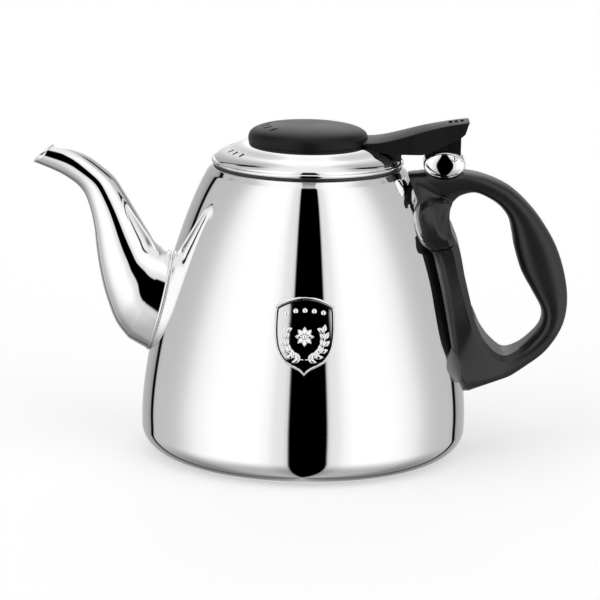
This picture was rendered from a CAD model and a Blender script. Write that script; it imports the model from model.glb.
# Gooseneck kettle of polished steel: the looks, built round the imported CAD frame.
# Lengths in the shape functions are millimetres, as in the CAD source; meshes are made in metres.
from math import acos, cos, degrees, hypot, pi, radians, sin, sqrt

import bmesh
import bpy
from mathutils import Matrix, Vector


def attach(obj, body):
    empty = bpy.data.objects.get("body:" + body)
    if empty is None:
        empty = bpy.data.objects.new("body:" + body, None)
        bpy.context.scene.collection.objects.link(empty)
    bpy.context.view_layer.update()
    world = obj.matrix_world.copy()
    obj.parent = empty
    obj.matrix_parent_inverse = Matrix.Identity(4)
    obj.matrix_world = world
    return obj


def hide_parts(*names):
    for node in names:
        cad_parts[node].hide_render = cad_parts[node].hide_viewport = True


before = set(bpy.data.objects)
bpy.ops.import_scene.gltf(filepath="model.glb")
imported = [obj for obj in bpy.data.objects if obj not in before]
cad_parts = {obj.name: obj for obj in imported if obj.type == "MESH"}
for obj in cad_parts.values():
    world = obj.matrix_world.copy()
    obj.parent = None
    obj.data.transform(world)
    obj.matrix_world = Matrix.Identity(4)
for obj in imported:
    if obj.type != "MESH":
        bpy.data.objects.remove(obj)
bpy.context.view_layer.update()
MM = 0.001

# ---- camera ----

CAM_TARGET = Vector((0, 0, 0.070))
CAM_DISTANCE = 1.4
CAM_ELEVATION = radians(12.61)
CAM_ROLL = radians(1.03)
FOCAL_PX = 3028.4           # focal length in pixels of a 600 px wide image
TARGET_PX = (305.26, 298.72)
IMAGE_PX = 600
SENSOR_MM = 36.0


def put(name, data):
    """A new object in the scene."""
    obj = bpy.data.objects.new(name, data)
    bpy.context.scene.collection.objects.link(obj)
    return obj


def make_camera():
    data = bpy.data.cameras.new("camera")
    data.sensor_width = SENSOR_MM
    data.lens = FOCAL_PX / IMAGE_PX * SENSOR_MM
    data.shift_x = (IMAGE_PX / 2 - TARGET_PX[0]) / IMAGE_PX
    data.shift_y = (TARGET_PX[1] - IMAGE_PX / 2) / IMAGE_PX
    data.clip_start = 0.05
    camera = put("camera", data)
    place = CAM_TARGET + CAM_DISTANCE * Vector((0, -cos(CAM_ELEVATION), sin(CAM_ELEVATION)))
    turn = Matrix.Rotation(pi / 2 - CAM_ELEVATION, 4, "X") @ Matrix.Rotation(CAM_ROLL, 4, "Z")
    camera.matrix_world = Matrix.Translation(place) @ turn
    bpy.context.scene.camera = camera


make_camera()
bpy.context.scene.view_settings.view_transform = "Standard"

# ---- node helpers ----


def node(tree, kind, inputs=None, **settings):
    """A shader node with its settings; an input is a value or another node's output socket."""
    n = tree.nodes.new("ShaderNode" + kind)
    for key, value in settings.items():
        setattr(n, key, value)
    for key, value in (inputs or {}).items():
        if isinstance(value, bpy.types.NodeSocket):
            tree.links.new(value, n.inputs[key])
        else:
            n.inputs[key].default_value = value
    return n


def maths(tree, operation, a, b=0.0, c=0.0, clamp=False):
    n = node(tree, "Math", {0: a, 1: b, 2: c}, operation=operation, use_clamp=clamp)
    return n.outputs[0]


def ramp(tree, factor, stops):
    """A colour ramp; stops are (position, grey or (r, g, b))."""
    n = node(tree, "ValToRGB", {"Fac": factor})
    elements = n.color_ramp.elements
    while len(elements) < len(stops):
        elements.new(0.5)
    for element, (position, value) in zip(elements, stops):
        rgb = value if isinstance(value, tuple) else (value,) * 3
        element.position = position
        element.color = (*rgb, 1)
    return n.outputs["Color"]


def map_range(tree, value, from_min, from_max, to_min, to_max, smooth=False):
    n = node(tree, "MapRange", {"Value": value, "From Min": from_min, "From Max": from_max,
                                "To Min": to_min, "To Max": to_max},
             interpolation_type="SMOOTHSTEP" if smooth else "LINEAR")
    return n.outputs["Result"]


def blend(tree, factor, a, b, kind="MIX"):
    """Two colours mixed, or joined in another way."""
    n = node(tree, "Mix", {"Factor": factor, "A": a, "B": b}, data_type="RGBA", blend_type=kind)
    return n.outputs["Result"]


def linear(v):
    """Light level that shows as the 8-bit grey v."""
    c = v / 255
    return c / 12.92 if c <= 0.04045 else ((c + 0.055) / 1.055) ** 2.4


# ---- studio ----

# Light of the tent round the object by direction: degrees from the camera's side, then the grey
# that polished steel shows there. Two tall dark gaps let the camera in and close the tent behind.
STEEL_SHINE = 0.93
TENT = [
    (0, 0), (9.6, 0), (11.0, 205), (14, 222), (20, 228), (25, 243), (32, 252), (44, 255),
    (60, 253), (70, 249), (80, 240), (88, 226), (96, 207), (104, 194), (113, 188), (127, 186),
    (132.5, 180), (134, 6), (138, 6), (140, 150), (148, 168), (158, 172), (168, 192), (175, 222),
    (180, 252)
]
# On the right the dark gap in front reaches further
TENT_RIGHT = [(0, 0), (16.5, 0), (17.8, 205), (20, 222), (25, 228), (30, 243), (36, 252)] + TENT[7:]
TENT_STRENGTH = 1.03
# The bright panels are narrower higher up, by one share in front and by another behind
NARROW_Z, NARROW_FRONT, NARROW_BACK = (-0.15, 0.75), 1.22, 1.08
FRONT_TO_BACK = (1.9, 2.2)              # turn in radians over which front goes over into back
TOP_Z, TOP_TONE = (0.80, 0.97), 0.88    # straight up the tent closes in one even tone
LOW_Z, LOW_TONE = (-0.85, -0.25), 0.42  # and it is darker below


def tent_light(tree, direction):
    """Level of the studio's light from a direction, as a grey colour."""
    axes = node(tree, "SeparateXYZ", {0: direction}).outputs
    back = maths(tree, "MULTIPLY", axes["Y"], -1.0)
    turn = maths(tree, "ABSOLUTE", maths(tree, "ARCTAN2", axes["X"], back))
    near, far = [
        maths(tree, "MULTIPLY", turn, map_range(tree, axes["Z"], *NARROW_Z, 1.0, narrow, smooth=True))
        for narrow in (NARROW_FRONT, NARROW_BACK)]
    pick = map_range(tree, turn, *FRONT_TO_BACK, 0.0, 1.0, smooth=True)
    angle = maths(tree, "ADD", maths(tree, "MULTIPLY", near, maths(tree, "SUBTRACT", 1.0, pick)),
                  maths(tree, "MULTIPLY", far, pick))
    share = maths(tree, "DIVIDE", angle, pi, clamp=True)
    left, right = [ramp(tree, share, [(a / 180, linear(v) / STEEL_SHINE) for a, v in table])
                   for table in (TENT, TENT_RIGHT)]
    grey = blend(tree, maths(tree, "GREATER_THAN", axes["X"], 0.0), left, right)
    up = map_range(tree, axes["Z"], *TOP_Z, 0.0, 1.0, smooth=True)
    grey = blend(tree, up, grey, (TOP_TONE, TOP_TONE, TOP_TONE, 1))
    down = map_range(tree, axes["Z"], *LOW_Z, LOW_TONE, 1.0, smooth=True)
    shade = node(tree, "CombineColor", {0: down, 1: down, 2: down}).outputs[0]
    return blend(tree, 1.0, grey, shade, "MULTIPLY")


def show_apart(tree, lighting, seen, output):
    """One shader lights the scene and another is seen by the camera."""
    ray = node(tree, "LightPath").outputs["Is Camera Ray"]
    mixed = node(tree, "MixShader", {0: ray, 1: lighting.outputs[0], 2: seen.outputs[0]})
    node(tree, output, {"Surface": mixed.outputs[0]})


def make_world():
    world = bpy.data.worlds.new("studio")
    bpy.context.scene.world = world
    world.use_nodes = True
    tree = world.node_tree
    tree.nodes.clear()
    direction = node(tree, "TexCoord").outputs["Generated"]
    tent = node(tree, "Background", {"Color": tent_light(tree, direction), "Strength": TENT_STRENGTH})
    white = node(tree, "Background", {"Color": (1, 1, 1, 1), "Strength": 1.0})
    show_apart(tree, tent, white, "OutputWorld")


FLOOR_SIZE = 14.0
FLOOR_TONE = 0.88
FLOOR_GLOW = 0.36           # brings the lit floor up to white; its shadow stays


def make_floor():
    mesh = bpy.data.meshes.new("floor")
    h = FLOOR_SIZE / 2
    mesh.from_pydata([(-h, -h, 0), (h, -h, 0), (h, h, 0), (-h, h, 0)], [], [(0, 1, 2, 3)])
    floor = put("floor", mesh)
    material = bpy.data.materials.new("floor")
    material.use_nodes = True
    tree = material.node_tree
    tree.nodes.clear()
    matt = node(tree, "BsdfDiffuse", {"Color": (FLOOR_TONE, FLOOR_TONE, FLOOR_TONE, 1)})
    glow = node(tree, "Emission", {"Color": (1, 1, 1, 1), "Strength": FLOOR_GLOW})
    lit = node(tree, "AddShader", {0: matt.outputs[0], 1: glow.outputs[0]})
    show_apart(tree, matt, lit, "OutputMaterial")
    mesh.materials.append(material)
    floor.visible_glossy = False        # the steel shows the tent below the object too


make_world()
make_floor()

# ---- materials ----


def material(name):
    m = bpy.data.materials.new(name)
    m.use_nodes = True
    m.node_tree.nodes.clear()
    return m, m.node_tree


def finish(m, tree, shader, bump=None):
    node(tree, "OutputMaterial", {"Surface": shader.outputs[0]})
    if bump:
        tree.links.new(bump.outputs["Normal"], shader.inputs["Normal"])
    return m


def object_point(tree, scale=(1, 1, 1)):
    """Object coordinates, stretched."""
    point = node(tree, "TexCoord").outputs["Object"]
    return node(tree, "Mapping", {"Vector": point, "Scale": scale}).outputs[0]


def noise(tree, point, scale, detail, roughness=0.5):
    inputs = {"Vector": point, "Scale": scale, "Detail": detail, "Roughness": roughness}
    return node(tree, "TexNoise", inputs).outputs["Fac"]


WIPING = 0.35               # share of the fine wiping marks in a polished metal's gloss


def polished(name, colour, low, high):
    """Mirror-polished metal with faint wiping marks; low and high bound its roughness."""
    m, tree = material(name)
    broad = noise(tree, object_point(tree), 35.0, 3.0)
    fine = noise(tree, object_point(tree, (1, 1, 14)), 240.0, 4.0)
    mixed = node(tree, "Mix", {"Factor": WIPING, "A": broad, "B": fine})
    rough = map_range(tree, mixed.outputs["Result"], 0.3, 0.7, low, high)
    shader = node(tree, "BsdfPrincipled", {"Base Color": (*colour, 1), "Metallic": 1.0, "Roughness": rough})
    return finish(m, tree, shader)


TURNING = (60, 60, 2600)    # fine marks round the axis: how the noise is stretched


def brushed(name, colour, low, high):
    """Metal with fine parallel turning marks; low and high bound its roughness."""
    m, tree = material(name)
    lines = noise(tree, object_point(tree, TURNING), 1.0, 4.0)
    cloud = noise(tree, object_point(tree), 60.0, 2.0)
    rough = map_range(tree, lines, 0.3, 0.7, low, high)
    tone = ramp(tree, cloud, [(0.3, tuple(c * 0.93 for c in colour)), (0.7, colour)])
    bump = node(tree, "Bump", {"Height": lines, "Strength": 0.05, "Distance": 0.0002})
    shader = node(tree, "BsdfPrincipled", {"Base Color": tone, "Metallic": 1.0, "Roughness": rough})
    return finish(m, tree, shader, bump)


# The leg's edge beside the body is lighter: the body's radius there as a line over height, how far
# out the sheen reaches, its steps, and the heights over which it comes in and goes out; in metres
SIDE_SLOPE, SIDE_RADIUS = -0.219, 0.0817
SHEEN_REACH, SHEEN_IN, SHEEN_OUT = 0.01, (0.028, 0.036), (0.088, 0.096)
LEG_SHEEN = [(0, 0.30), (0.08, 0.17), (0.16, 0.08), (0.26, 0.03), (0.42, 0.008), (0.6, 0)]


def with_leg_sheen(tree, tone):
    """A tone, lighter on the edge of the leg beside the body."""
    place = node(tree, "SeparateXYZ", {"Vector": node(tree, "TexCoord").outputs["Object"]})
    x, y, z = place.outputs
    squares = [maths(tree, "MULTIPLY", v, v) for v in (x, y)]
    radius = maths(tree, "SQRT", maths(tree, "ADD", *squares))
    gap = maths(tree, "SUBTRACT", radius, maths(tree, "MULTIPLY_ADD", z, SIDE_SLOPE, SIDE_RADIUS))
    light = ramp(tree, map_range(tree, gap, 0, SHEEN_REACH, 0, 1), LEG_SHEEN)
    span = maths(tree, "MULTIPLY", map_range(tree, z, *SHEEN_IN, 0, 1, smooth=True),
                 map_range(tree, z, *SHEEN_OUT, 1, 0, smooth=True))
    return blend(tree, span, tone, blend(tree, 1.0, tone, light, "ADD"))


def moulded(name, colour, low, high, grain=0.16, level=0.6, sheen=False):
    """Black phenolic moulding with a fine stipple; low and high bound its roughness."""
    m, tree = material(name)
    point = object_point(tree)
    grains = noise(tree, point, 1700.0, 3.0, 0.6)
    cloud = noise(tree, point, 45.0, 3.0)
    tone = ramp(tree, grains, [(0.35, tuple(c * 0.7 for c in colour)),
                               (0.65, tuple(c * 1.35 for c in colour))])
    both = node(tree, "Mix", {"Factor": 0.5, "A": grains, "B": cloud})
    rough = map_range(tree, both.outputs["Result"], 0.35, 0.65, low, high)
    bump = node(tree, "Bump", {"Height": grains, "Strength": grain, "Distance": 0.0003})
    if sheen:
        tone = with_leg_sheen(tree, tone)
    shader = node(tree, "BsdfPrincipled", {"Base Color": tone, "Roughness": rough,
                                           "Specular IOR Level": level})
    return finish(m, tree, shader, bump)


MIRROR = polished("polished_steel", (0.93, 0.932, 0.935), 0.008, 0.03)
CHROME = polished("chrome", (0.94, 0.945, 0.95), 0.02, 0.05)
SATIN = brushed("satin_steel", (0.72, 0.72, 0.725), 0.24, 0.36)
ALUMINIUM = brushed("aluminium", (0.80, 0.80, 0.81), 0.35, 0.5)
BLACK = moulded("black_moulding", (0.009, 0.009, 0.0095), 0.27, 0.40)
HANDLE_BLACK = moulded("handle_black", (0.009, 0.009, 0.0095), 0.27, 0.40, sheen=True)
CAP_BLACK = moulded("cap_black", (0.006, 0.006, 0.0065), 0.30, 0.42, grain=0.3, level=0.22)
CORE_BLACK = moulded("core_black", (0.003, 0.003, 0.003), 0.5, 0.6, level=0.1)

# ---- curves ----


def add(a, b):
    return tuple(x + y for x, y in zip(a, b))


def bezier(a, b, c, d, t):
    return tuple((1 - t) ** 3 * p + 3 * (1 - t) ** 2 * t * q + 3 * (1 - t) * t * t * r + t ** 3 * s
                 for p, q, r, s in zip(a, b, c, d))


def spline(a, b, c, d, t):
    """Smooth curve through b and c, with a before them and d after."""
    return tuple(0.5 * (2 * q + (r - p) * t + (2 * p - 5 * q + 4 * r - s) * t * t
                        + (3 * q - p - 3 * r + s) * t ** 3) for p, q, r, s in zip(a, b, c, d))


def refine(rows, steps, closed=False):
    n = len(rows)
    out = []
    for i in range(n if closed else n - 1):
        ids = [i - 1, i, i + 1, i + 2] if closed else [max(i - 1, 0), i, i + 1, min(i + 2, n - 1)]
        out += [spline(*[rows[j % n] for j in ids], k / steps) for k in range(steps)]
    return out if closed else out + [rows[-1]]


def arc(centre, r, start, end, steps):
    turns = [radians(start + (end - start) * k / steps) for k in range(steps + 1)]
    return [(centre[0] + r * cos(a), centre[1] + r * sin(a)) for a in turns]


def circle(r, n=32):
    return [(r * cos(2 * pi * k / n), r * sin(2 * pi * k / n)) for k in range(n)]


def signed_power(x, p):
    return (1 if x > 0 else -1 if x < 0 else 0) * abs(x) ** p


def lookup(x, table):
    """Linear value at x in a table of (x, y) with rising x."""
    if x <= table[0][0]:
        return table[0][1]
    for (x0, y0), (x1, y1) in zip(table, table[1:]):
        if x <= x1:
            return y0 + (y1 - y0) * (x - x0) / (x1 - x0)
    return table[-1][1]


# ---- mesh helpers ----

SHARP = radians(38)


def tidy(bm):
    """Merges poles, drops faces without area, turns faces outward and marks the sharp edges."""
    bmesh.ops.remove_doubles(bm, verts=bm.verts, dist=2e-6)
    bmesh.ops.dissolve_degenerate(bm, edges=bm.edges, dist=1e-6)
    bmesh.ops.recalc_face_normals(bm, faces=bm.faces)
    for f in bm.faces:
        f.smooth = True
    for e in bm.edges:
        e.smooth = not (len(e.link_faces) == 2 and e.calc_face_angle(0) > SHARP)


def piece(name, points, faces, look, body=None):
    """A mesh object in metres from points in millimetres, with its smooth shading set."""
    mesh = bpy.data.meshes.new(name)
    mesh.from_pydata([(x * MM, y * MM, z * MM) for x, y, z in points], [], faces)
    bm = bmesh.new()
    bm.from_mesh(mesh)
    tidy(bm)
    bm.to_mesh(mesh)
    bm.free()
    if look:
        mesh.materials.append(look)
    obj = put(name, mesh)
    if body:
        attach(obj, body)
    return obj


def ring_faces(rings, n, closed=False):
    """Faces between rings of n points laid one after another."""
    faces = []
    for i in range(rings if closed else rings - 1):
        j = (i + 1) % rings
        for k in range(n):
            m = (k + 1) % n
            faces.append((i * n + k, i * n + m, j * n + m, j * n + k))
    return faces


def loft(rings, closed=False, capped=False):
    """Points and faces of a skin over rings of points, joined end to end or with flat ends."""
    n = len(rings[0])
    faces = ring_faces(len(rings), n, closed)
    if capped:
        faces += [tuple(range(n)), tuple(range((len(rings) - 1) * n, len(rings) * n))]
    return [p for r in rings for p in r], faces


def lofted(name, rings, look, body, closed=False, capped=False):
    return piece(name, *loft(rings, closed, capped), look, body)


def turned(profile, n):
    """Rings of points for a profile of (radius, height) turned round the Z axis."""
    return [[(x, y, z) for x, y in circle(r, n)] for r, z in profile]


def prism(outline, start, end, to_point):
    """A solid between two copies of an outline; to_point makes a point from (u, v, depth)."""
    return loft([[to_point(u, v, d) for u, v in outline] for d in (start, end)], capped=True)


def joined(solids):
    """Several (points, faces) in one."""
    points, faces = [], []
    for p, f in solids:
        base = len(points)
        points += p
        faces += [tuple(i + base for i in face) for face in f]
    return points, faces


def cut(obj, solids, operation="DIFFERENCE"):
    """Takes solids, as (points, faces) in millimetres, out of an object, or adds them to it."""
    cutter = piece("cutter", *joined(solids), None)
    modifier = obj.modifiers.new("cut", "BOOLEAN")
    modifier.operation = operation
    modifier.solver = "EXACT"
    modifier.object = cutter
    bpy.context.view_layer.update()
    graph = bpy.context.evaluated_depsgraph_get()
    mesh = bpy.data.meshes.new_from_object(obj.evaluated_get(graph))
    obj.modifiers.clear()
    old, used = obj.data, cutter.data
    obj.data = mesh
    mesh.name = old.name
    bpy.data.objects.remove(cutter)
    for unused in (old, used):
        bpy.data.meshes.remove(unused)
    bm = bmesh.new()
    bm.from_mesh(mesh)
    tidy(bm)
    bm.to_mesh(mesh)
    bm.free()


def slot_outline(length, width, n=8):
    """A round-ended slot along the first axis."""
    right = arc(((length - width) / 2, 0), width / 2, -90, 90, n)
    return right + [(-x, -y) for x, y in right]


def upright(turn, reach):
    """Places (u, v, depth) as a point at a distance from the Z axis, turned about it."""
    c, s = cos(radians(turn)), sin(radians(turn))
    return lambda u, v, d: ((reach + u) * c - v * s, (reach + u) * s + v * c, d)


def sideways(u, v, d):
    """Takes an outline in the plane of the handle, with its depth along Y."""
    return (u, d, v)


def around(x, z, outline):
    return [(x + u, z + v) for u, v in outline]


def rectangle(x0, x1, z0, z1):
    return [(x0, z0), (x1, z0), (x1, z1), (x0, z1)]


# ---- the kettle's measures, as in the CAD source ----

BODY_R, BODY_H, MOUTH_R, WALL = 75.0, 133.2, 44.0, 0.8
CORNER_R, BASE_LIP, SIDE_H, RIM_W = 11.0, 0.6, 16.0, 2.0
ROLL_R, ROLL_Z = 0.75, 131.95       # the rolled rim of the mouth
FOOT_R = BODY_R - CORNER_R
STEP_R, BASE_T = 60.2, 4.2
WELD = 0.05


def side_line(inset, steps=96):
    ends = ((BODY_R, SIDE_H), (BODY_R, SIDE_H + 32), (MOUTH_R + 13.1, BODY_H - 19.3), (MOUTH_R, BODY_H))
    out = []
    for k in range(steps + 1):
        p, q = bezier(*ends, k / steps), bezier(*ends, k / steps + 0.01)
        run = hypot(q[0] - p[0], q[1] - p[1])
        out.append((p[0] - inset * (q[1] - p[1]) / run, p[1] + inset * (q[0] - p[0]) / run))
    return out


SIDE_TABLE = [(0, BODY_R)] + [(z, r) for r, z in side_line(0)]


def body_at(z):
    return lookup(z, SIDE_TABLE)


# ---- body ----

ROOT_Z, ROOT_HALF_H, ROOT_HALF_W = 68.3, 22.8, 16.2
STRAINER_D, STRAINER_PITCH = 4.0, 6.6
STRAINER = (3, 4, 3, 2)     # holes per row, from the middle row outwards
ROW_HEIGHT = 0.866          # distance of the staggered rows, in pitches
BODY_N, CAP_N = 256, 192    # points round the body and the lid, and round the cap


def make_body():
    rim = arc((MOUTH_R - ROLL_R + 0.1, ROLL_Z), ROLL_R, 20, 180, 16)
    inside = [p for p in reversed(side_line(WALL)) if p[1] < BODY_H - 2.6 * RIM_W]
    profile = ([(0, BASE_T), (STEP_R, BASE_T), (STEP_R, BASE_LIP + 0.3), (STEP_R + 0.3, BASE_LIP)]
               + arc((FOOT_R, BASE_LIP + CORNER_R), CORNER_R, -90, 0, 24)
               + [p for p in side_line(0) if p[1] < ROLL_Z - 0.9]
               + rim + [(MOUTH_R - RIM_W, BODY_H - 2 * RIM_W)] + inside
               + list(reversed(arc((FOOT_R, BASE_LIP + CORNER_R), CORNER_R - WALL, -90, 0, 16)))
               + [(STEP_R + WALL, BASE_LIP + WALL), (STEP_R + WALL, BASE_T + WALL), (0, BASE_T + WALL)])
    body = lofted("body", turned(profile, BODY_N), MIRROR, "kettle")
    holes = []
    for row in range(-3, 4):
        count = STRAINER[abs(row)]
        for k in range(count):
            y = (k - (count - 1) / 2) * STRAINER_PITCH
            z = ROOT_Z + row * STRAINER_PITCH * ROW_HEIGHT
            hole = around(y, z, circle(STRAINER_D / 2, 24))
            holes.append(prism(hole, -BODY_R - 1, -50, lambda u, v, d: (d, u, v)))
    cut(body, holes)
    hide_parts(*[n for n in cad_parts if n.startswith("body_")])


make_body()

# ---- spout ----

SPOUT_WALL = 0.9
COLLAR_T, COLLAR_REACH, COLLAR_ROUND = 1.2, 0.4, 0.35   # ring round the spout's root
# Sections from the body to the tip: x and z of the underside and of the top, half width
SPOUT_ROWS = [
    (-81.6, 50.2, -63.3, 92.2, 16.0), (-87.6, 58.3, -66.6, 93.3, 15.6), (-92.3, 71.0, -69.8, 95.6, 14.2),
    (-95.0, 82.5, -72.2, 99.6, 12.6), (-96.6, 93.0, -75.2, 104.4, 11.2), (-97.6, 102.0, -79.3, 111.2, 9.9),
    (-99.4, 110.5, -83.8, 118.6, 8.7), (-101.9, 117.4, -88.3, 125.4, 7.9),
    (-105.4, 121.9, -93.9, 130.4, 7.2), (-110.6, 125.6, -101.0, 135.4, 6.7),
    (-116.1, 128.4, -108.5, 138.6, 6.2), (-125.4, 132.1, -115.8, 140.2, 5.7)
]
LIP = [(0.12, 0.28), (0.45, 0.42), (0.78, 0.28)]    # inset and how far forward, round the tip's edge
RING_N = 96


def spout_ring(row, inset, forward=0.0):
    """Points round one section, moved inwards by a wall's thickness and forward along the spout."""
    under, over, half_w = Vector(row[:2]), Vector(row[2:4]), row[4]
    mid, half = (under + over) / 2, (over - under) / 2
    ahead = Vector((-half.y, half.x)).normalized() * forward
    rise = half * (half.length - inset) / half.length
    out = []
    for c, s in circle(1, RING_N):
        p = mid + rise * c + ahead
        out.append((p.x, (half_w - inset) * s, p.y))
    return out


def root_ring(out, inset):
    """Points round the spout's root, at a distance outside the body's wall."""
    ring = []
    for c, s in circle(1, RING_N):
        y, z = (ROOT_HALF_W - inset) * s, ROOT_Z + (ROOT_HALF_H - inset) * c
        ring.append((-sqrt(body_at(z) ** 2 - y * y) - out, y, z))
    return ring


def make_spout():
    line = refine(SPOUT_ROWS, 8)
    start = COLLAR_T + 2 * WELD
    outer = [root_ring(start, 0)] + [spout_ring(r, 0) for r in line]
    lip = [spout_ring(line[-1], *place) for place in LIP]
    inner = [root_ring(start, SPOUT_WALL)] + [spout_ring(r, SPOUT_WALL) for r in line]
    spout = lofted("spout", outer + lip + inner[::-1], MIRROR, "kettle", closed=True)
    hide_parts("spout")

    rings = [root_ring(WELD + COLLAR_T * (0.5 + 0.5 * s), -COLLAR_REACH - COLLAR_ROUND * c)
             for c, s in arc((0, 0), 1, -90, 90, 10)]
    rings += [root_ring(WELD + COLLAR_T, SPOUT_WALL + 0.3), root_ring(WELD, SPOUT_WALL + 0.3)]
    collar = lofted("spout_collar_ring", rings, MIRROR, "kettle", closed=True)
    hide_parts("spout_collar")


make_spout()

# ---- lid ----

LID_T, LID_RISE, BEAD_R, SEAM = 0.7, 9.4, 0.9, 0.9
CAP_R, CAP_H, CAP_WALL = 27.4, 8.2, 2.2
SWELL = 1.0                 # how much the dome swells round the cap
BEAD_Z = BODY_H + SEAM + BEAD_R
DOME_R, DOME_Z = MOUTH_R - BEAD_R - 0.3, BEAD_Z + 0.3
SEAT_R = CAP_R - 5.4
SCREW_RING_R, LID_SCREW_R = 17.0, 1.5
# Vents on both sides of the spout's line: size, distance from the axis, angles
LID_VENT, LID_VENT_R = (3.6, 1.6), 36
LID_VENT_TURNS = [180 + side * (16 + k * 9.4) for side in (-1, 1) for k in range(3)]
STEAM_R = 2                 # holes in the plate below the cap
SEAL_IN = 41.9              # the seal's inner radius


def step_up(x, start, end):
    """Rises smoothly from 0 at start to 1 at end."""
    t = min(1, max(0, (x - start) / (end - start)))
    return t * t * (3 - 2 * t)


def dome_at(r, inset):
    """Height of the dome, which is flat under the cap."""
    swell = SWELL * step_up(r, SEAT_R + 0.8, CAP_R - CAP_WALL - 0.4)
    swell *= 1 - step_up(r, CAP_R + 2, DOME_R - 6)
    return DOME_Z + swell + (LID_RISE - inset) * sqrt(max(0, 1 - (max(r, SEAT_R) / (DOME_R - inset)) ** 2))


def dome_line(inset, steps=64):
    top = degrees(acos(SEAT_R / (DOME_R - inset)))
    radii = [(DOME_R - inset) * cos(radians(top * k / steps)) for k in range(steps, -1, -1)]
    return [(0, dome_at(0, inset))] + [(r, dome_at(r, inset)) for r in radii]


def on_screw_ring(outline, start, end):
    return [prism(outline, start, end, upright(a, SCREW_RING_R)) for a in (60, 180, 300)]


def make_lid():
    seat_z = dome_at(0, 0)
    bead = arc((MOUTH_R - BEAD_R, BEAD_Z), BEAD_R, 70, -190, 28)
    profile = dome_line(0) + bead + dome_line(LID_T)[::-1]
    lid = lofted("lid_plate_dome", turned(profile, BODY_N), MIRROR, "lid")
    vents = [prism(slot_outline(*LID_VENT), DOME_Z - 1, DOME_Z + LID_RISE + 1, upright(a, LID_VENT_R))
             for a in LID_VENT_TURNS]
    vents += on_screw_ring(circle(LID_SCREW_R + 0.2), seat_z - 2, seat_z + 2)
    vents += [prism(circle(STEAM_R), seat_z - 2, seat_z + 2, upright(60 * k, SCREW_RING_R / 2 + 0.5))
              for k in range(6)]
    cut(lid, vents)
    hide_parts("lid_plate")

    low, high, out = ROLL_Z + ROLL_R + 0.05, BEAD_Z - BEAD_R * 0.8, MOUTH_R - 0.75
    section = [(SEAL_IN, low), (out - 0.2, low), (out, low + 0.2), (out, high - 0.1), (SEAL_IN, high)]
    seal = lofted("lid_seal_ring", turned(section, CAP_N), BLACK, "lid", closed=True)


make_lid()

# ---- cap and lever ----

CAP_Z = dome_at(CAP_R, 0) + WELD
CAP_FULL = 0.62             # below 1 the cap is fuller than a plain oval dome
CAP_VENT, CAP_VENT_R = (4.4, 1.8), 19.5
CAP_VENT_TURNS = [180 + (k - 2) * 18.5 for k in range(5)]
BOSS_R = 3
PIN_X, PIN_Z, PIN_D, PIN_GAP = 66.8, BODY_H + 5, 2.6, 0.05
TAIL = (PIN_X + 6.6, PIN_Z + 16.5)
LEVER_W, TAIL_W = 25.0, 15.2
LUG_W, LUG_R = 7.0, 3.0
LEVER_FOOT_X = DOME_R - 0.2
LEVER_Z = CAP_Z - SWELL
# Grooves across the lever's tail: distance from its end, pitch, radius, half length, height of
# their middle above the lever's top line
GROOVE_BACK, GROOVE_PITCH, GROOVE_R, GROOVE_HALF, GROOVE_UP = 3.4, 2.6, 0.85, 3.2, 0.55

HOUSING_X, HOUSING_Z = PIN_X - 4.5, PIN_Z - 3.2
HOUSING_L, HOUSING_H, HOUSING_W, CHEEK_FALL = 19.2, 12.8, 18.0, 2.3
SLOT_W, SLOT_FLOOR = LUG_W + 0.6, PIN_Z - LUG_R - 0.3
HOUSING_EDGE = 0.9          # round of the cheeks' edge
PIN_IN, PIN_DOME = 0.35, 0.75           # the pin's ends: how far inside the cheeks, their round
WEB_X, WEB_W = 53.2, 16     # the web under the lever, beside the housing
HEAD_D, HEAD_H, SCREW_D, FIT = 7.0, 2.2, 4.0, 0.2


def housing_oval(gap):
    """The hinge housing's outline from its middle, larger all round by a gap."""
    return [((HOUSING_L / 2 + gap) * c, (HOUSING_H / 2 + gap) * s) for c, s in circle(1, 96)]


def cap_line(inset, steps=48):
    r, h = CAP_R - inset, CAP_H - 1 - inset
    return [(r * signed_power(cos(pi / 2 * k / steps), CAP_FULL) if k < steps else 0,
             CAP_Z + 1 + h * signed_power(sin(pi / 2 * k / steps), CAP_FULL)) for k in range(steps + 1)]


def lever_top(t):
    a = (CAP_R - 0.8, LEVER_Z + 2.6)
    return bezier(a, add(a, (11.4, -0.6)), add(TAIL, (-21, -2.3)), TAIL, t)


# The lever's upper and lower line, from the cap to the end of its tail
LEVER_TOP = [lever_top(k / 48) for k in range(49)]
LEVER_UNDER = [(CAP_R - 4, LEVER_Z + 2.6), (CAP_R + 0.7, LEVER_Z + 0.2), (31.8, LEVER_Z - 1.3),
               (36.3, LEVER_Z - 2.1), (40, LEVER_Z - 2.5), (47.3, LEVER_Z - 2.6), (52, LEVER_Z - 2.7)] + [
    add(TAIL, d) for d in [(-18, -13.9), (-14.5, -12.2), (-11.5, -10.6), (-6.8, -8.5),
                           (-4, -7.3), (-1.9, -5.5), (-0.9, -2.4), (0, 0)]]
# How far the top stands out in the middle, and the lever's half width, from the cap to the tail
LEVER_CROWN = [(CAP_R, 0.9), (38, 1.3), (53, 1.3), (62, 0.7), (69, 0.25)]
FOOT_TOP_Z = LEVER_Z - 1
LEVER_PLAN = [(CAP_R - 5, LEVER_W / 2), (CAP_R + 7, LEVER_W / 2 - 0.3),
              (PIN_X - 19, LEVER_W * 0.28 + TAIL_W * 0.26), (PIN_X - 4, TAIL_W / 2 + 1),
              (TAIL[0] - 1, TAIL_W / 2), (TAIL[0] + 0.2, TAIL_W / 2 - 1.2)]
LEVER_START, LEVER_RUN = CAP_R - 3.2, TAIL[0] - 0.12 - CAP_R + 3.2
LEVER_STATIONS, CLOSER = 90, 1.6        # stations lie closer towards the tail


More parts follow.
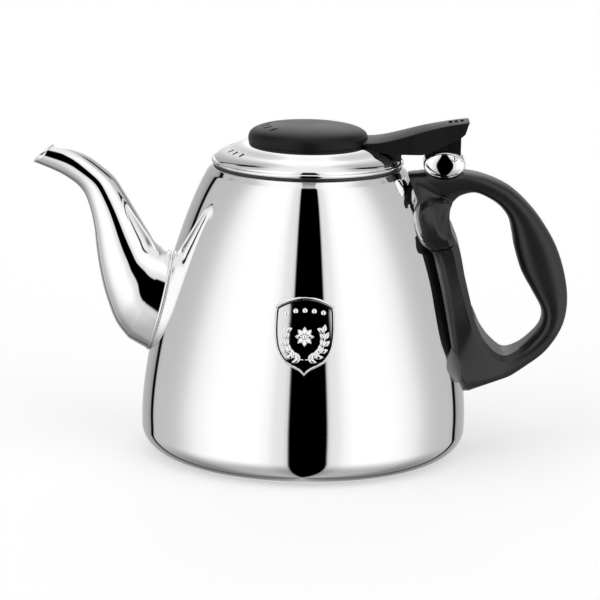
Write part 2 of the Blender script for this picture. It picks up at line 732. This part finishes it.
def rounded_section(x, low, high, half, r_top, r_low, n=6):
    """A section of the lever at x, between its lowest and highest line, with rounded edges."""
    r_top = min(r_top, (high - low) * 0.45, half * 0.45)
    r_low = min(r_low, (high - low) * 0.45, half * 0.45)
    # side, height and radius of each round, angle where it starts, steps of the line after it
    corners = ((1, high - r_top, r_top, 90, 8), (1, low + r_low, r_low, 0, 12),
               (-1, low + r_low, r_low, -90, 8), (-1, high - r_top, r_top, 180, 16))
    bends = [arc((side * (half - r), cz), r, start, start - 90, n) for side, cz, r, start, _ in corners]
    out = []
    for i, bend in enumerate(bends):
        p, q, steps = bend[-1], bends[(i + 1) % 4][0], corners[i][4]
        out += bend + [(p[0] + (q[0] - p[0]) * j / steps, p[1] + (q[1] - p[1]) * j / steps)
                       for j in range(1, steps)]
    middle = (low + high) / 2
    crown = lookup(x, LEVER_CROWN)
    return [(x, y, z + (crown * (1 - (y / half) ** 2) if z > middle else 0)) for y, z in out]


def make_cap():
    foot = [(CAP_R - 0.1, CAP_Z + 0.5), (CAP_R - 0.5, CAP_Z), (CAP_R - 1.2, CAP_Z - 0.3),
            (CAP_R - CAP_WALL, CAP_Z - 0.6)]
    profile = cap_line(0)[::-1] + foot + cap_line(CAP_WALL)
    cap = lofted("cap", turned(profile, CAP_N), CAP_BLACK, "lid")
    cut(cap, [prism(slot_outline(*CAP_VENT), CAP_Z + 2, CAP_Z + CAP_H + 2, upright(a, CAP_VENT_R))
              for a in CAP_VENT_TURNS])
    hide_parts("lid_cap")

    seat_z = dome_at(0, 0)
    bosses = joined(on_screw_ring(circle(BOSS_R), seat_z + 0.02, CAP_Z + CAP_H - CAP_WALL + 0.3))
    boss = piece("cap_bosses", *bosses, CAP_BLACK, "lid")
    cut(boss, on_screw_ring(circle(LID_SCREW_R + 0.02), seat_z - 1, seat_z + 4.5))
    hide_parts("lid_cap")


def make_lever():
    under = sorted(LEVER_UNDER)
    rings = []
    for k in range(LEVER_STATIONS + 1):
        x = LEVER_START + LEVER_RUN * (1 - (1 - k / LEVER_STATIONS) ** CLOSER)
        high, low, half = [lookup(x, table) for table in (LEVER_TOP, under, LEVER_PLAN)]
        rings.append(rounded_section(x, low, high, half, 0.45, 0.5))
    lever = lofted("lever", rings, CAP_BLACK, "lid", capped=True)
    # the foot that carries the lever on the lid's rim
    foot = [(LEVER_FOOT_X - 9.5, -9.5), (LEVER_FOOT_X - 2, -8), (LEVER_FOOT_X, -6.5), (LEVER_FOOT_X, 6.5),
            (LEVER_FOOT_X - 2, 8), (LEVER_FOOT_X - 9.5, 9.5), (CAP_R - 4, 10), (CAP_R - 4, -10)]
    cut(lever, [prism(foot, BEAD_Z - 3, FOOT_TOP_Z, lambda u, v, d: (u, v, d))], "UNION")
    # the web that follows the housing's outline, and the lug with the bore for the pin
    bend = [(u, v) for u, v in housing_oval(0.35) if v > 0 and u < 1.5][::-1]
    web = [p for p in around(HOUSING_X, HOUSING_Z, bend) if p[0] > WEB_X]
    web += [(HOUSING_X + 1.5, PIN_Z + 7), (56, LEVER_Z - 1), (WEB_X, LEVER_Z - 2)]
    cut(lever, [prism(web, -WEB_W / 2, WEB_W / 2, sideways)], "UNION")
    lug = (arc((PIN_X, PIN_Z), LUG_R, 180, 360, 32)
           + [(PIN_X + LUG_R, PIN_Z + 8.6), (PIN_X - LUG_R * 2.1, PIN_Z + 7)])
    cut(lever, [prism(lug, -LUG_W / 2, LUG_W / 2, sideways)], "UNION")
    bore = around(PIN_X, PIN_Z, circle(PIN_D / 2 + PIN_GAP, 48))
    takes = [prism(bore, -LUG_W, LUG_W, sideways)]
    for k in range(3):
        x = TAIL[0] - GROOVE_BACK - k * GROOVE_PITCH
        groove = around(x, lookup(x, LEVER_TOP) + GROOVE_UP, circle(GROOVE_R, 24))
        takes.append(prism(groove, -GROOVE_HALF, GROOVE_HALF, sideways))
    cut(lever, takes)
    # the lid is kept clear
    lid = [(r, z + WELD) for r, z in dome_line(0)]
    lid += [(MOUTH_R + 0.2, BEAD_Z + BEAD_R * 0.6), (MOUTH_R + 0.2, BEAD_Z - 4), (0, BEAD_Z - 4)]
    cut(lever, [loft(turned(lid, CAP_N))])
    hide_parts("lid_cap")


make_cap()
make_lever()

# ---- hinge ----


def cheek_y(u, v):
    """How far a cheek stands out at (u, v) from the housing's middle."""
    return HOUSING_W / 2 - CHEEK_FALL * hypot(u / HOUSING_L * 2, v / HOUSING_H * 2) ** 3


def make_housing():
    half = []
    for s in (0.001, 0.08, 0.16, 0.24, 0.32, 0.4, 0.48, 0.56, 0.64, 0.72, 0.79, 0.85, 0.9):
        half.append([(u * s, v * s, cheek_y(u * s, v * s)) for u, v in housing_oval(0)])
    for k in range(9):
        a = pi / 2 * k / 8
        ring = []
        for u, v in housing_oval(-HOUSING_EDGE * (1 - sin(a))):
            r = 1 - HOUSING_EDGE / hypot(u, v)
            ring.append((u, v, cheek_y(u * r, v * r) - HOUSING_EDGE * (1 - cos(a))))
        half.append(ring)
    rings = half + [[(u, v, -y) for u, v, y in r] for r in half[::-1]]
    rings = [[(HOUSING_X + u, y, HOUSING_Z + v) for u, v, y in r] for r in rings]
    housing = lofted("hinge_housing_shell", rings, CHROME, "kettle", capped=True)
    slot = rectangle(HOUSING_X - 3, HOUSING_X + HOUSING_L, SLOT_FLOOR, SLOT_FLOOR + HOUSING_H)
    bore = around(PIN_X, PIN_Z, circle(PIN_D / 2, 48))
    cut(housing, [prism(slot, -SLOT_W / 2, SLOT_W / 2, sideways),
                  prism(bore, -HOUSING_W, HOUSING_W, sideways)])
    at_screw = upright(0, HOUSING_X)
    cut(housing, [prism(circle(SCREW_D / 2 + FIT), HOUSING_Z - HOUSING_H, SLOT_FLOOR + 1, at_screw)])
    cut(housing, [prism(circle(HEAD_D / 2 + FIT), SLOT_FLOOR - HEAD_H, SLOT_FLOOR + 1.01, at_screw)])
    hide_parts("hinge_housing")


def make_pin():
    """The pin, with a turned end that stands a little inside each cheek."""
    reach = cheek_y(PIN_X - HOUSING_X, PIN_Z - HOUSING_Z) - PIN_IN
    r = PIN_D / 2 - 0.02
    end = [(r * cos(radians(a)), reach - PIN_DOME + PIN_DOME * sin(radians(a))) for a in range(0, 91, 10)]
    profile = [(u, -v) for u, v in end[::-1]] + end
    rings = [[(x, v, z) for x, z in around(PIN_X, PIN_Z, circle(max(u, 0.001), 48))] for u, v in profile]
    pin = lofted("hinge_pin_turned", rings, CHROME, "kettle", capped=True)
    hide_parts("hinge_pin")


make_housing()
make_pin()

# ---- handle ----

LEG_GAP, LEG_T = -0.05, 9.6  # the leg is pressed slightly into the body; its thickness at the screw
NECK_Z = 131.2
BRACKET_Z, BRACKET_T, BRACKET_W, BRACKET_END = NECK_Z - 8.5, 3.0, 12.0, PIN_X + 0.8
STUD_Z, STUD_D, STUD_L = 66.0, 8.0, 4.0
COUNTERBORE = 1.2           # how much wider and deeper the lower screw's hole is than its head


def leg(z, hole_z, thick, half_w, inner=0.8):
    """A station of the leg, from inside the body to its thickness outside it."""
    return (body_at(z) - 5, z, body_at(hole_z) + thick, hole_z, half_w, inner)


# Stations round the handle: x and z of the outer point and of the point on the finger hole, half
# width, and the share of that width at the hole
HANDLE_ROWS = [
    (45, 129.0, 66.6, 116.0, 9, 1), (51, 131.0, 67.8, 118.0, 9.2, 1), (61, 131.5, 70.6, 120.4, 9.5, 1),
    (73.5, 131.4, 76.5, 121.9, 9.5, 1), (84, 128.8, 82.5, 119.8, 9.5, 1), (93.8, 123.8, 88.2, 116, 9.5, 1),
    (102.8, 115.5, 92.3, 110.5, 9.5, 1), (110, 106, 94.2, 103.5, 9.5, 1), (115.5, 96, 95.6, 96.5, 9.5, 1),
    (119.2, 84.5, 99, 86, 9.5, 1), (120.9, 73.5, 104, 77, 9.5, 1), (120.1, 64, 108.8, 68, 9.5, 1),
    (117.0, 56, 108.6, 61, 9.8, 1), (111.2, 47.7, 104, 54.5, 10, 1), (103, 40.9, 98, 49.2, 11, 1),
    (93, 34.2, 92, 47.2, 13, 0.9), (83, 29.7, 86.5, 50.5, 16.5, 0.85), (75.2, 27.2, 82.2, 55.5, 19.5, 0.8),
    (70, 30.5, 80.0, 59.8, 21.5, 0.8),
    leg(44, 66, 9.7, 23), leg(62, 75, 9.6, 22.5), leg(78, 85.5, 9.8, 20.5), leg(94, 97.5, 10.8, 19),
    leg(107, 107, 9.8, 19), leg(119, 112.3, 11.2, 15)
]
HANDLE_STEPS = 14           # rings between two stations
# Cores inside the handle, which the steel shows without the sheen on its edge: the stations
# between which they run, their share of its section, and how much higher they lie
LEG_CORE, NECK_CORE = (18, 23, (0.95, 0.93, 0.95), 0), (0, 3, (0.9, 0.8, 0.45), 1.0)
FULLER = 0.7                # below 1 the grip's section is fuller than an oval
# How much of each station has the flat face, the edge round and the bevel of the leg
CARVED = [0] * 12 + [0.1, 0.5, 0.9] + [1] * 9 + [0.6]
FIRST_SEATED = 18                           # from this station on the handle lies on the body
SEAT_REACH, SEAT_STEP = 12, 0.1             # how far and how finely the body is looked for
# Half width of the strip where the leg touches the body, by height
LEG_SEAT = [(27, 4), (31, 11), (35, 17), (40, 20.5), (46, 21.5), (57, 21), (65.7, 19.9), (74.6, 18.3),
            (81.4, 17.1), (88, 16.2), (95, 16), (98, 17.5), (101, 19), (105, 20.5), (109, 21),
            (113, 20.5), (116, 18.5), (118, 14.5), (120, 10), (129, 8)]
EDGE_ROUND, EDGE_DROP = 4.5, 3.0            # round of the leg's edge beside the body
BEVEL_IN, BEVEL_DEEP, BEVEL_EDGE = 3.0, 2.6, 0.25   # bevel along the finger hole
KEEL = 0.021                                # the foot's outer face falls back to both sides
# The foot's underside: height in the middle, rise with the square of the distance across, rise
# away from the body and the x where it begins, and the x where the foot ends
UNDER_Z, UNDER_V, UNDER_RISE, UNDER_X, FOOT_END = 28.8, 0.0128, 0.38, 76, 100
# Knuckle on both sides of the leg's head, and the oval scoop in it: middle, half sizes, height,
# and the share of the size over which it fades
SWELLINGS = [(59.4, 108.8, 12.2, 12.0, 4.6, 0.2), (63.8, 111.3, 5.6, 8.6, -2.2, 0.6),
             (65.8, 109.5, 3.2, 6.0, -1.0, 0.3)]


def swelling(x, z, cx, cz, half_x, half_z, height, edge):
    """Height of an oval swelling at (x, z)."""
    d = hypot((x - cx) / half_x, (z - cz) / half_z)
    return height * (1 - step_up(d, 1 - edge, 1))


def carved_half(length, half_w, seat_w, keel):
    """Half of the leg's section, from its outer middle to the middle at the finger hole."""
    start = length - EDGE_ROUND
    out = [(length, seat_w * (k + 0.5) / 6) for k in range(6)]
    out += [(start + EDGE_ROUND * sin(radians(a)), seat_w + (half_w - seat_w) * cos(radians(a)))
            for a in range(90, 0, -8)]
    out += [(start + (BEVEL_IN + 0.3 - start) * k / 10, half_w) for k in range(11)]
    out += [(BEVEL_IN, half_w - 0.06), (BEVEL_IN - BEVEL_EDGE, half_w - BEVEL_EDGE)]
    out += [((BEVEL_IN - BEVEL_EDGE) * (1 - k / 7),
             half_w - BEVEL_EDGE - (BEVEL_DEEP - BEVEL_EDGE) * k / 7) for k in range(1, 8)]
    out += [(-0.05, (half_w - BEVEL_DEEP) * s) for s in (0.66, 0.25)]
    return [(s - keel * y * y * (s / length) ** 1.5 if s > 0 else s, y) for s, y in out]


def seat(hole, run, length):
    """Where a section that ends inside the body meets it, and half the width of its contact."""
    end = hole + run * length
    if end.y > BODY_H or end.x > body_at(end.y):
        return length, lookup(end.y, LEG_SEAT)
    s = 0.0
    while s < length + SEAT_REACH:
        p = hole + run * s
        half = lookup(p.y, LEG_SEAT)
        if p.y < BODY_H and p.x < sqrt(body_at(p.y) ** 2 - half ** 2):
            return s, half
        s += SEAT_STEP
    return length, half


def underside(x, y):
    """Height of the foot's underside, which rises to both sides and away from the body."""
    return UNDER_Z + UNDER_V * y * y + UNDER_RISE * max(0, x - UNDER_X)


def handle_ring(row):
    """Points round the handle's section at a station."""
    outer, hole = Vector(row[:2]), Vector(row[2:4])
    half_w, inner, carved, seated = row[4:]
    length = (outer - hole).length
    run = (outer - hole).normalized()
    reach, seat_w = seat(hole, run, length)
    seated = min(max(seated, 0), 1)
    length += (reach - length) * seated
    contact = half_w - EDGE_DROP + (min(seat_w, half_w - 0.5) - half_w + EDGE_DROP) * seated
    half = carved_half(length, half_w, contact, KEEL * (1 - seated))
    n = len(half)
    smooth = []
    for k in range(n):
        a = pi * (k + 0.5) / n
        across, wide = signed_power(cos(a), FULLER), signed_power(sin(a), FULLER)
        smooth.append(((1 + across) / 2 * length, half_w * wide * (inner + (1 - inner) * (1 + across) / 2)))
    line = [(p[0] * (1 - carved) + q[0] * carved, p[1] * (1 - carved) + q[1] * carved)
            for p, q in zip(smooth, half)]
    ring = []
    for s, y in line + [(s, -y) for s, y in reversed(line)]:
        p = hole + run * s
        x = p.x
        if abs(y) > 0.45 * half_w:
            wider = sum(swelling(x, p.y, *form) for form in SWELLINGS)
            y += wider if y > 0 else -wider
        z = p.y if p.x > FOOT_END else max(p.y, underside(x, y))
        if z <= BODY_H:
            r = body_at(z) + LEG_GAP
            x = max(x, sqrt(max(0, r * r - y * y)))
        ring.append((x, y, z))
    return ring


# Half widths by height: of the foot's saddle on the body, of the steel plate behind the knuckle,
# and of the leg's side where the saddle ends
SADDLE = [(36.9, 22.3), (38.6, 24.9), (40.3, 27.2), (41.7, 28.9),
          (43.8, 30.3), (45.9, 30.8), (47.7, 30.4), (49.1, 29), (50.3, 26.7), (51.5, 24.3), (53, 21.6)]
HEAD_PLATE = [(95.3, 15), (96.8, 17.2), (98.6, 20.2), (101.4, 24.0), (103.5, 25.5), (105.9, 26.2),
              (108.6, 26.0), (111.2, 24.9), (113.6, 23.1), (115.8, 20.4), (117.4, 16.9), (118.7, 11.6)]
SADDLE_WALL = [(31, 17.5), (35, 18.6), (40, 19.8), (44, 20.4), (48, 21.0), (53, 20.3)]
SADDLE_LIP, SADDLE_RISE, SADDLE_TOP = 0.35, 1.3, 6.6    # height of its edge, slope, most height
PLATE_T = 1.3


def hugging(name, table, profile, look, steps=48):
    """A plate on the body's round side; profile lists (distance across, height) for half of it."""
    rings = []
    low, high = table[0][0], table[-1][0]
    for i in range(steps + 1):
        z = low + (high - low) * i / steps
        r = body_at(z)
        half = profile(lookup(z, table), z)
        line = [(-y, out) for y, out in half] + [(y, out) for y, out in reversed(half)]
        front = [(sqrt(r * r - y * y) + out, y, z) for y, out in line]
        back = [(sqrt(r * r - y * y) + LEG_GAP, y, z) for y, out in line]
        rings.append(front + back[::-1])
    return lofted(name, rings, look, "kettle", capped=True)


def saddle_line(half, z):
    """A hollow round that starts flat at the saddle's edge and runs up the side of the leg."""
    wall = min(lookup(z, SADDLE_WALL), half - 0.05)
    height = min(SADDLE_TOP, SADDLE_RISE * (half - wall) + 0.3)
    edge = half - 0.12
    line = [(half, 0.1), (edge, SADDLE_LIP)]
    line += [(edge - (edge - wall) * sin(radians(a)), SADDLE_LIP + height * (1 - cos(radians(a))))
             for a in range(9, 91, 9)]
    return line + [(wall - 2, SADDLE_LIP + height), (wall / 3, SADDLE_LIP + height)]


def plate_line(half, z):
    """A flat plate with a rounded edge."""
    return ([(half, 0.8), (half - 0.15, 1.15), (half - 0.7, PLATE_T)]
            + [(half * k / 12, PLATE_T) for k in range(11, 0, -1)])


def core(name, rings, first, last, scale, rise):
    """A dark body inside the handle, from its first to its last station."""
    inner = []
    for ring in rings[first * HANDLE_STEPS:last * HANDLE_STEPS + 1]:
        middle = [sum(p[k] for p in ring) / len(ring) for k in range(3)]
        middle[2] += rise
        inner.append([tuple(m + (v - m) * f for v, m, f in zip(p, middle, scale)) for p in ring])
    obj = lofted(name, inner, CORE_BLACK, "kettle", capped=True)
    return obj


def make_handle():
    rows = [(*r, c, float(i >= FIRST_SEATED)) for i, (r, c) in enumerate(zip(HANDLE_ROWS, CARVED))]
    rings = [handle_ring(r) for r in refine(rows, HANDLE_STEPS, closed=True)]
    handle = lofted("handle_moulding", rings, HANDLE_BLACK, "kettle", closed=True)
    parts = [handle, core("handle_leg_core", rings, *LEG_CORE), core("handle_neck_core", rings, *NECK_CORE)]
    handle.visible_glossy = False       # the steel shows the dark cores in its place

    def carve(outline, start, end, to_point):
        for part in parts:
            cut(part, [prism(outline, start, end, to_point)])

    def along_x(u, v, d):
        return (d, u, STUD_Z + v)

    carve(around(HOUSING_X, HOUSING_Z, housing_oval(0.15)), -20, 20, sideways)
    slab = rectangle(40, BRACKET_END + FIT,
                     BRACKET_Z - BRACKET_T / 2 - FIT, BRACKET_Z + BRACKET_T / 2 + FIT)
    carve(slab, -BRACKET_W / 2 - FIT, BRACKET_W / 2 + FIT, sideways)
    carve(circle(SCREW_D / 2 + FIT), BRACKET_Z - BRACKET_T - 2.5, HOUSING_Z, upright(0, HOUSING_X))
    stud_x = body_at(STUD_Z)
    face = stud_x + LEG_T
    carve(circle(STUD_D / 2 + FIT), stud_x - 4, stud_x + STUD_L + FIT, along_x)
    carve(circle(SCREW_D / 2 + FIT), stud_x, face + 4, along_x)
    carve(circle((HEAD_D + COUNTERBORE) / 2), face - HEAD_H - COUNTERBORE, face + 6, along_x)
    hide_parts("handle")
    saddle = hugging("handle_saddle", SADDLE, saddle_line, HANDLE_BLACK)
    plate = hugging("handle_head_plate", HEAD_PLATE, plate_line, SATIN)
    plate.visible_glossy = False


make_handle()

# ---- badge ----

BADGE_W, BADGE_H, BADGE_Z = 27.4, 33.8, 68.0
BADGE_T, BADGE_RAISE, BADGE_BORDER = 0.6, 0.6, 1.2
# Right half of the outline from its arched top to its foot, in halves of the width and height
SHIELD_TOP = [(0.12 * k, 1 - 0.235 * (k / 8) ** 2) for k in range(8)]
SHIELD_SIDE = [(0.96, 0.765), (0.985, 0.6), (1, 0.3), (0.99, 0), (0.94, -0.27), (0.84, -0.47),
               (0.66, -0.66), (0.38, -0.79), (0.2, -0.86), (0.08, -0.93), (0, -1)]
DARK_LINE = 0.6             # width of the dark line inside the border
FLATTER = 0.0018            # it is bent less than the body, by the square of the distance across
# Cross-section of a leaf or bead: shares of its half width and of its height
RIDGE = [(-1, 0), (-0.8, 0.45), (-0.45, 0.8), (0, 1), (0.45, 0.8), (0.8, 0.45), (1, 0), (0, -0.3)]
# Half width and height; the sprigs' leaves get shorter by a step, and lean to both sides
LEAF, LEAF_L, LEAF_STEP, LEANS = (0.95, 0.75), 3.9, 0.12, (38, -34)
PETAL, PETAL_L, PETAL_R = (0.95, 0.85), 3.3, 0.9
STEM_AT, STEM_R, STEM_W, STEM_H = (0.4, -1.0), (8.6, 9.0), 0.22, 0.35
BEAD_STEP, BEAD_V, BEAD_SAG, BEAD_RADII = 4.1, 11.2, 0.055, (1.0, 1.05)


def shield(inset):
    """The badge's outline, moved inwards."""
    right = [(x * (BADGE_W / 2 - inset), y * (BADGE_H / 2 - inset))
             for x, y in SHIELD_TOP + refine(SHIELD_SIDE, 4)]
    return right + [(-x, y) for x, y in reversed(right[1:-1])]


def on_side(u, v, out):
    """The point on the body's front at u across and v up from the badge's middle, standing out."""
    r = body_at(BADGE_Z + v)
    return (u, -sqrt(r * r - u * u) - out - (FLATTER * u * u if out > 2 * WELD else 0), BADGE_Z + v)


def raised(spine, half_ws, height, base):
    """A leaf or bead on the badge: cross-sections along a spine of (u, v), ridged in the middle."""
    rings = []
    for i, (p, w) in enumerate(zip(spine, half_ws)):
        q, o = spine[min(i + 1, len(spine) - 1)], spine[max(i - 1, 0)]
        run = hypot(q[0] - o[0], q[1] - o[1])
        side = (-(q[1] - o[1]) / run, (q[0] - o[0]) / run)
        h = height * min(1, w / max(half_ws) * 1.3)
        rings.append([on_side(p[0] + side[0] * w * a, p[1] + side[1] * w * a, base + h * b)
                      for a, b in RIDGE])
    return loft(rings, capped=True)


def leaf(u, v, turn, length, form, base, steps=10):
    half_w, height = form
    c, s = cos(radians(turn)), sin(radians(turn))
    spine = [(u + c * length * k / steps, v + s * length * k / steps) for k in range(steps + 1)]
    half_ws = [0.06 + half_w * sin(pi * (k / steps) ** 0.85) for k in range(steps + 1)]
    return raised(spine, half_ws, height, base)


def bead(u, v, r, base, steps=8):
    spine = [(u, v - r + 2 * r * k / steps) for k in range(steps + 1)]
    half_ws = [0.05 + r * sqrt(max(0, 1 - (2 * k / steps - 1) ** 2)) for k in range(steps + 1)]
    return raised(spine, half_ws, 0.55 * r, base)


def badge_relief(base):
    """Two sprigs of leaves round a rosette, with a row of beads above."""
    solids = []
    for side in (-1, 1):
        stem = [(side * (STEM_AT[0] + STEM_R[0] * sin(radians(a))),
                 STEM_AT[1] - STEM_R[1] * cos(radians(a))) for a in range(0, 121, 10)]
        solids.append(raised(stem, [STEM_W] * len(stem), STEM_H, base))
        for k, (u, v) in enumerate(stem[1::2]):
            along = 20 * k + 14
            for lean in LEANS:
                turn = along + lean if side > 0 else 180 - along - lean
                solids.append(leaf(u, v, turn, LEAF_L - LEAF_STEP * k, LEAF, base))
    for a in range(0, 360, 45):
        solids.append(leaf(PETAL_R * cos(radians(a)), PETAL_R * sin(radians(a)), a, PETAL_L, PETAL, base))
    solids.append(bead(0, 0, BEAD_RADII[0], base))
    for k in range(-2, 3):
        u = BEAD_STEP * k
        solids.append(bead(u, BEAD_V - BEAD_SAG * u ** 2 / 4, BEAD_RADII[1], base))
    return joined(solids)


def make_badge():
    full, field = WELD + BADGE_T + BADGE_RAISE, WELD + BADGE_T
    bead_line = [(0, WELD), (0, full - 0.45), (0.08, full - 0.2), (0.25, full - 0.05), (0.5, full),
                 (0.75, full - 0.05), (0.95, full - 0.2), (1.1, full - 0.42), (BADGE_BORDER, field)]
    rings = [[on_side(u, v, out) for u, v in shield(inset)] for inset, out in bead_line]
    inner = shield(BADGE_BORDER)
    for s in (0.88, 0.75, 0.6, 0.45, 0.3, 0.15, 0.01):
        rings.append([on_side(u * s, v * s, field) for u, v in inner])
    rings.append([on_side(0, 0, field)] * len(inner))
    back = [[on_side(u * s, v * s, WELD) for u, v in shield(0)] for s in (0, 0.35, 0.7)]
    badge = lofted("badge_shield", back + rings, CHROME, "kettle")
    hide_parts("badge")
    edge = ((0, -0.1), (0, 0.05), (DARK_LINE, 0.05), (DARK_LINE, -0.1))
    rings = [[on_side(u, v, field + out) for u, v in shield(BADGE_BORDER - 0.1 + inset)]
             for inset, out in edge]
    line = lofted("badge_line", rings, CORE_BLACK, "kettle", closed=True)
    relief = piece("badge_relief", *badge_relief(field), CHROME, "kettle")


make_badge()

# ---- CAD nodes that stay ----

KEPT = {
    "base_core": ALUMINIUM, "base_cap": SATIN, "upper_bracket": SATIN, "housing_screw": CHROME,
    "lower_stud": SATIN, "lower_screw": CHROME, "lower_washer": SATIN,
    "lid_sleeve": SATIN, "lid_screws": CHROME, "lid_washers": CHROME
}
for name, look in KEPT.items():
    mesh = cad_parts[name].data
    mesh.materials.clear()
    mesh.materials.append(look)
